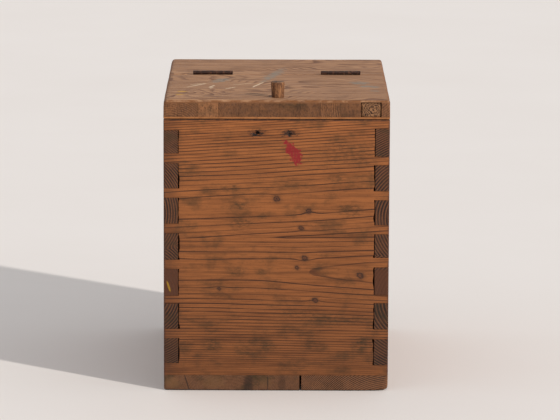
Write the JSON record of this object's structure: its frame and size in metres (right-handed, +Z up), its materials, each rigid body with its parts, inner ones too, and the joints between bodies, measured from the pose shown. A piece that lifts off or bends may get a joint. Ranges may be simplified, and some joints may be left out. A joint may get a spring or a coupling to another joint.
{
  "type": "wooden storage box",
  "caption": "Old finger-jointed pine box, its blockboard top cut across into a fixed rear part and a front lid on two iron butt hinges, lifted by a peg knob.",
  "frame": {"origin": "middle of the bottom face, where the box stands on the floor", "axes": "+Z up; the front panel looks along -Y; +X is to the right of someone who faces the front"},
  "size_m": [0.3, 0.4, 0.4146],
  "materials": {
    "front_pine": "old waxed pine, orange-brown, satin, worn",
    "side_pine": "old waxed pine with dark end grain, worn",
    "bottom_pine": "dry grey-brown pine",
    "core_pine": "raw blockboard core, dark end grain",
    "loose_pine": "raw core strip, lighter",
    "top_veneer": "grey-brown face veneer, dull, stained",
    "inner_veneer": "pale face veneer",
    "knob_wood": "turned wood, dull, dark with handling",
    "hinge_iron": "black, lightly rusted",
    "screw_steel": "dull, tarnished",
    "nail_steel": "rusty"
  },
  "bodies": {
    "box": {"front_panel": "front_pine", "back_panel": "front_pine", "left_side": "side_pine", "right_side": "side_pine", "bottom_board_left": "bottom_pine", "bottom_board_right": "bottom_pine", "bottom_nails": "nail_steel", "rear_top_core": "core_pine", "rear_top_face_veneer": "top_veneer", "rear_top_back_veneer": "inner_veneer", "left_hinge_fixed_leaf": "hinge_iron", "left_hinge_pin": "hinge_iron", "left_hinge_fixed_screws": "screw_steel", "right_hinge_fixed_leaf": "hinge_iron", "right_hinge_pin": "hinge_iron", "right_hinge_fixed_screws": "screw_steel"},
    "lid": {"lid_core": "core_pine", "lid_loose_strip": "loose_pine", "lid_face_veneer": "top_veneer", "lid_back_veneer": "inner_veneer", "knob": "knob_wood", "left_hinge_moving_leaf": "hinge_iron", "left_hinge_moving_screws": "screw_steel", "right_hinge_moving_leaf": "hinge_iron", "right_hinge_moving_screws": "screw_steel"}
  },
  "joints": [
    {"name": "lid_hinge", "type": "hinge", "parent": "box", "child": "lid", "pos_m": [0, 0.042, 0.3958], "axis": [-1, 0, 0], "range_deg": [0, 180]}
  ]
}
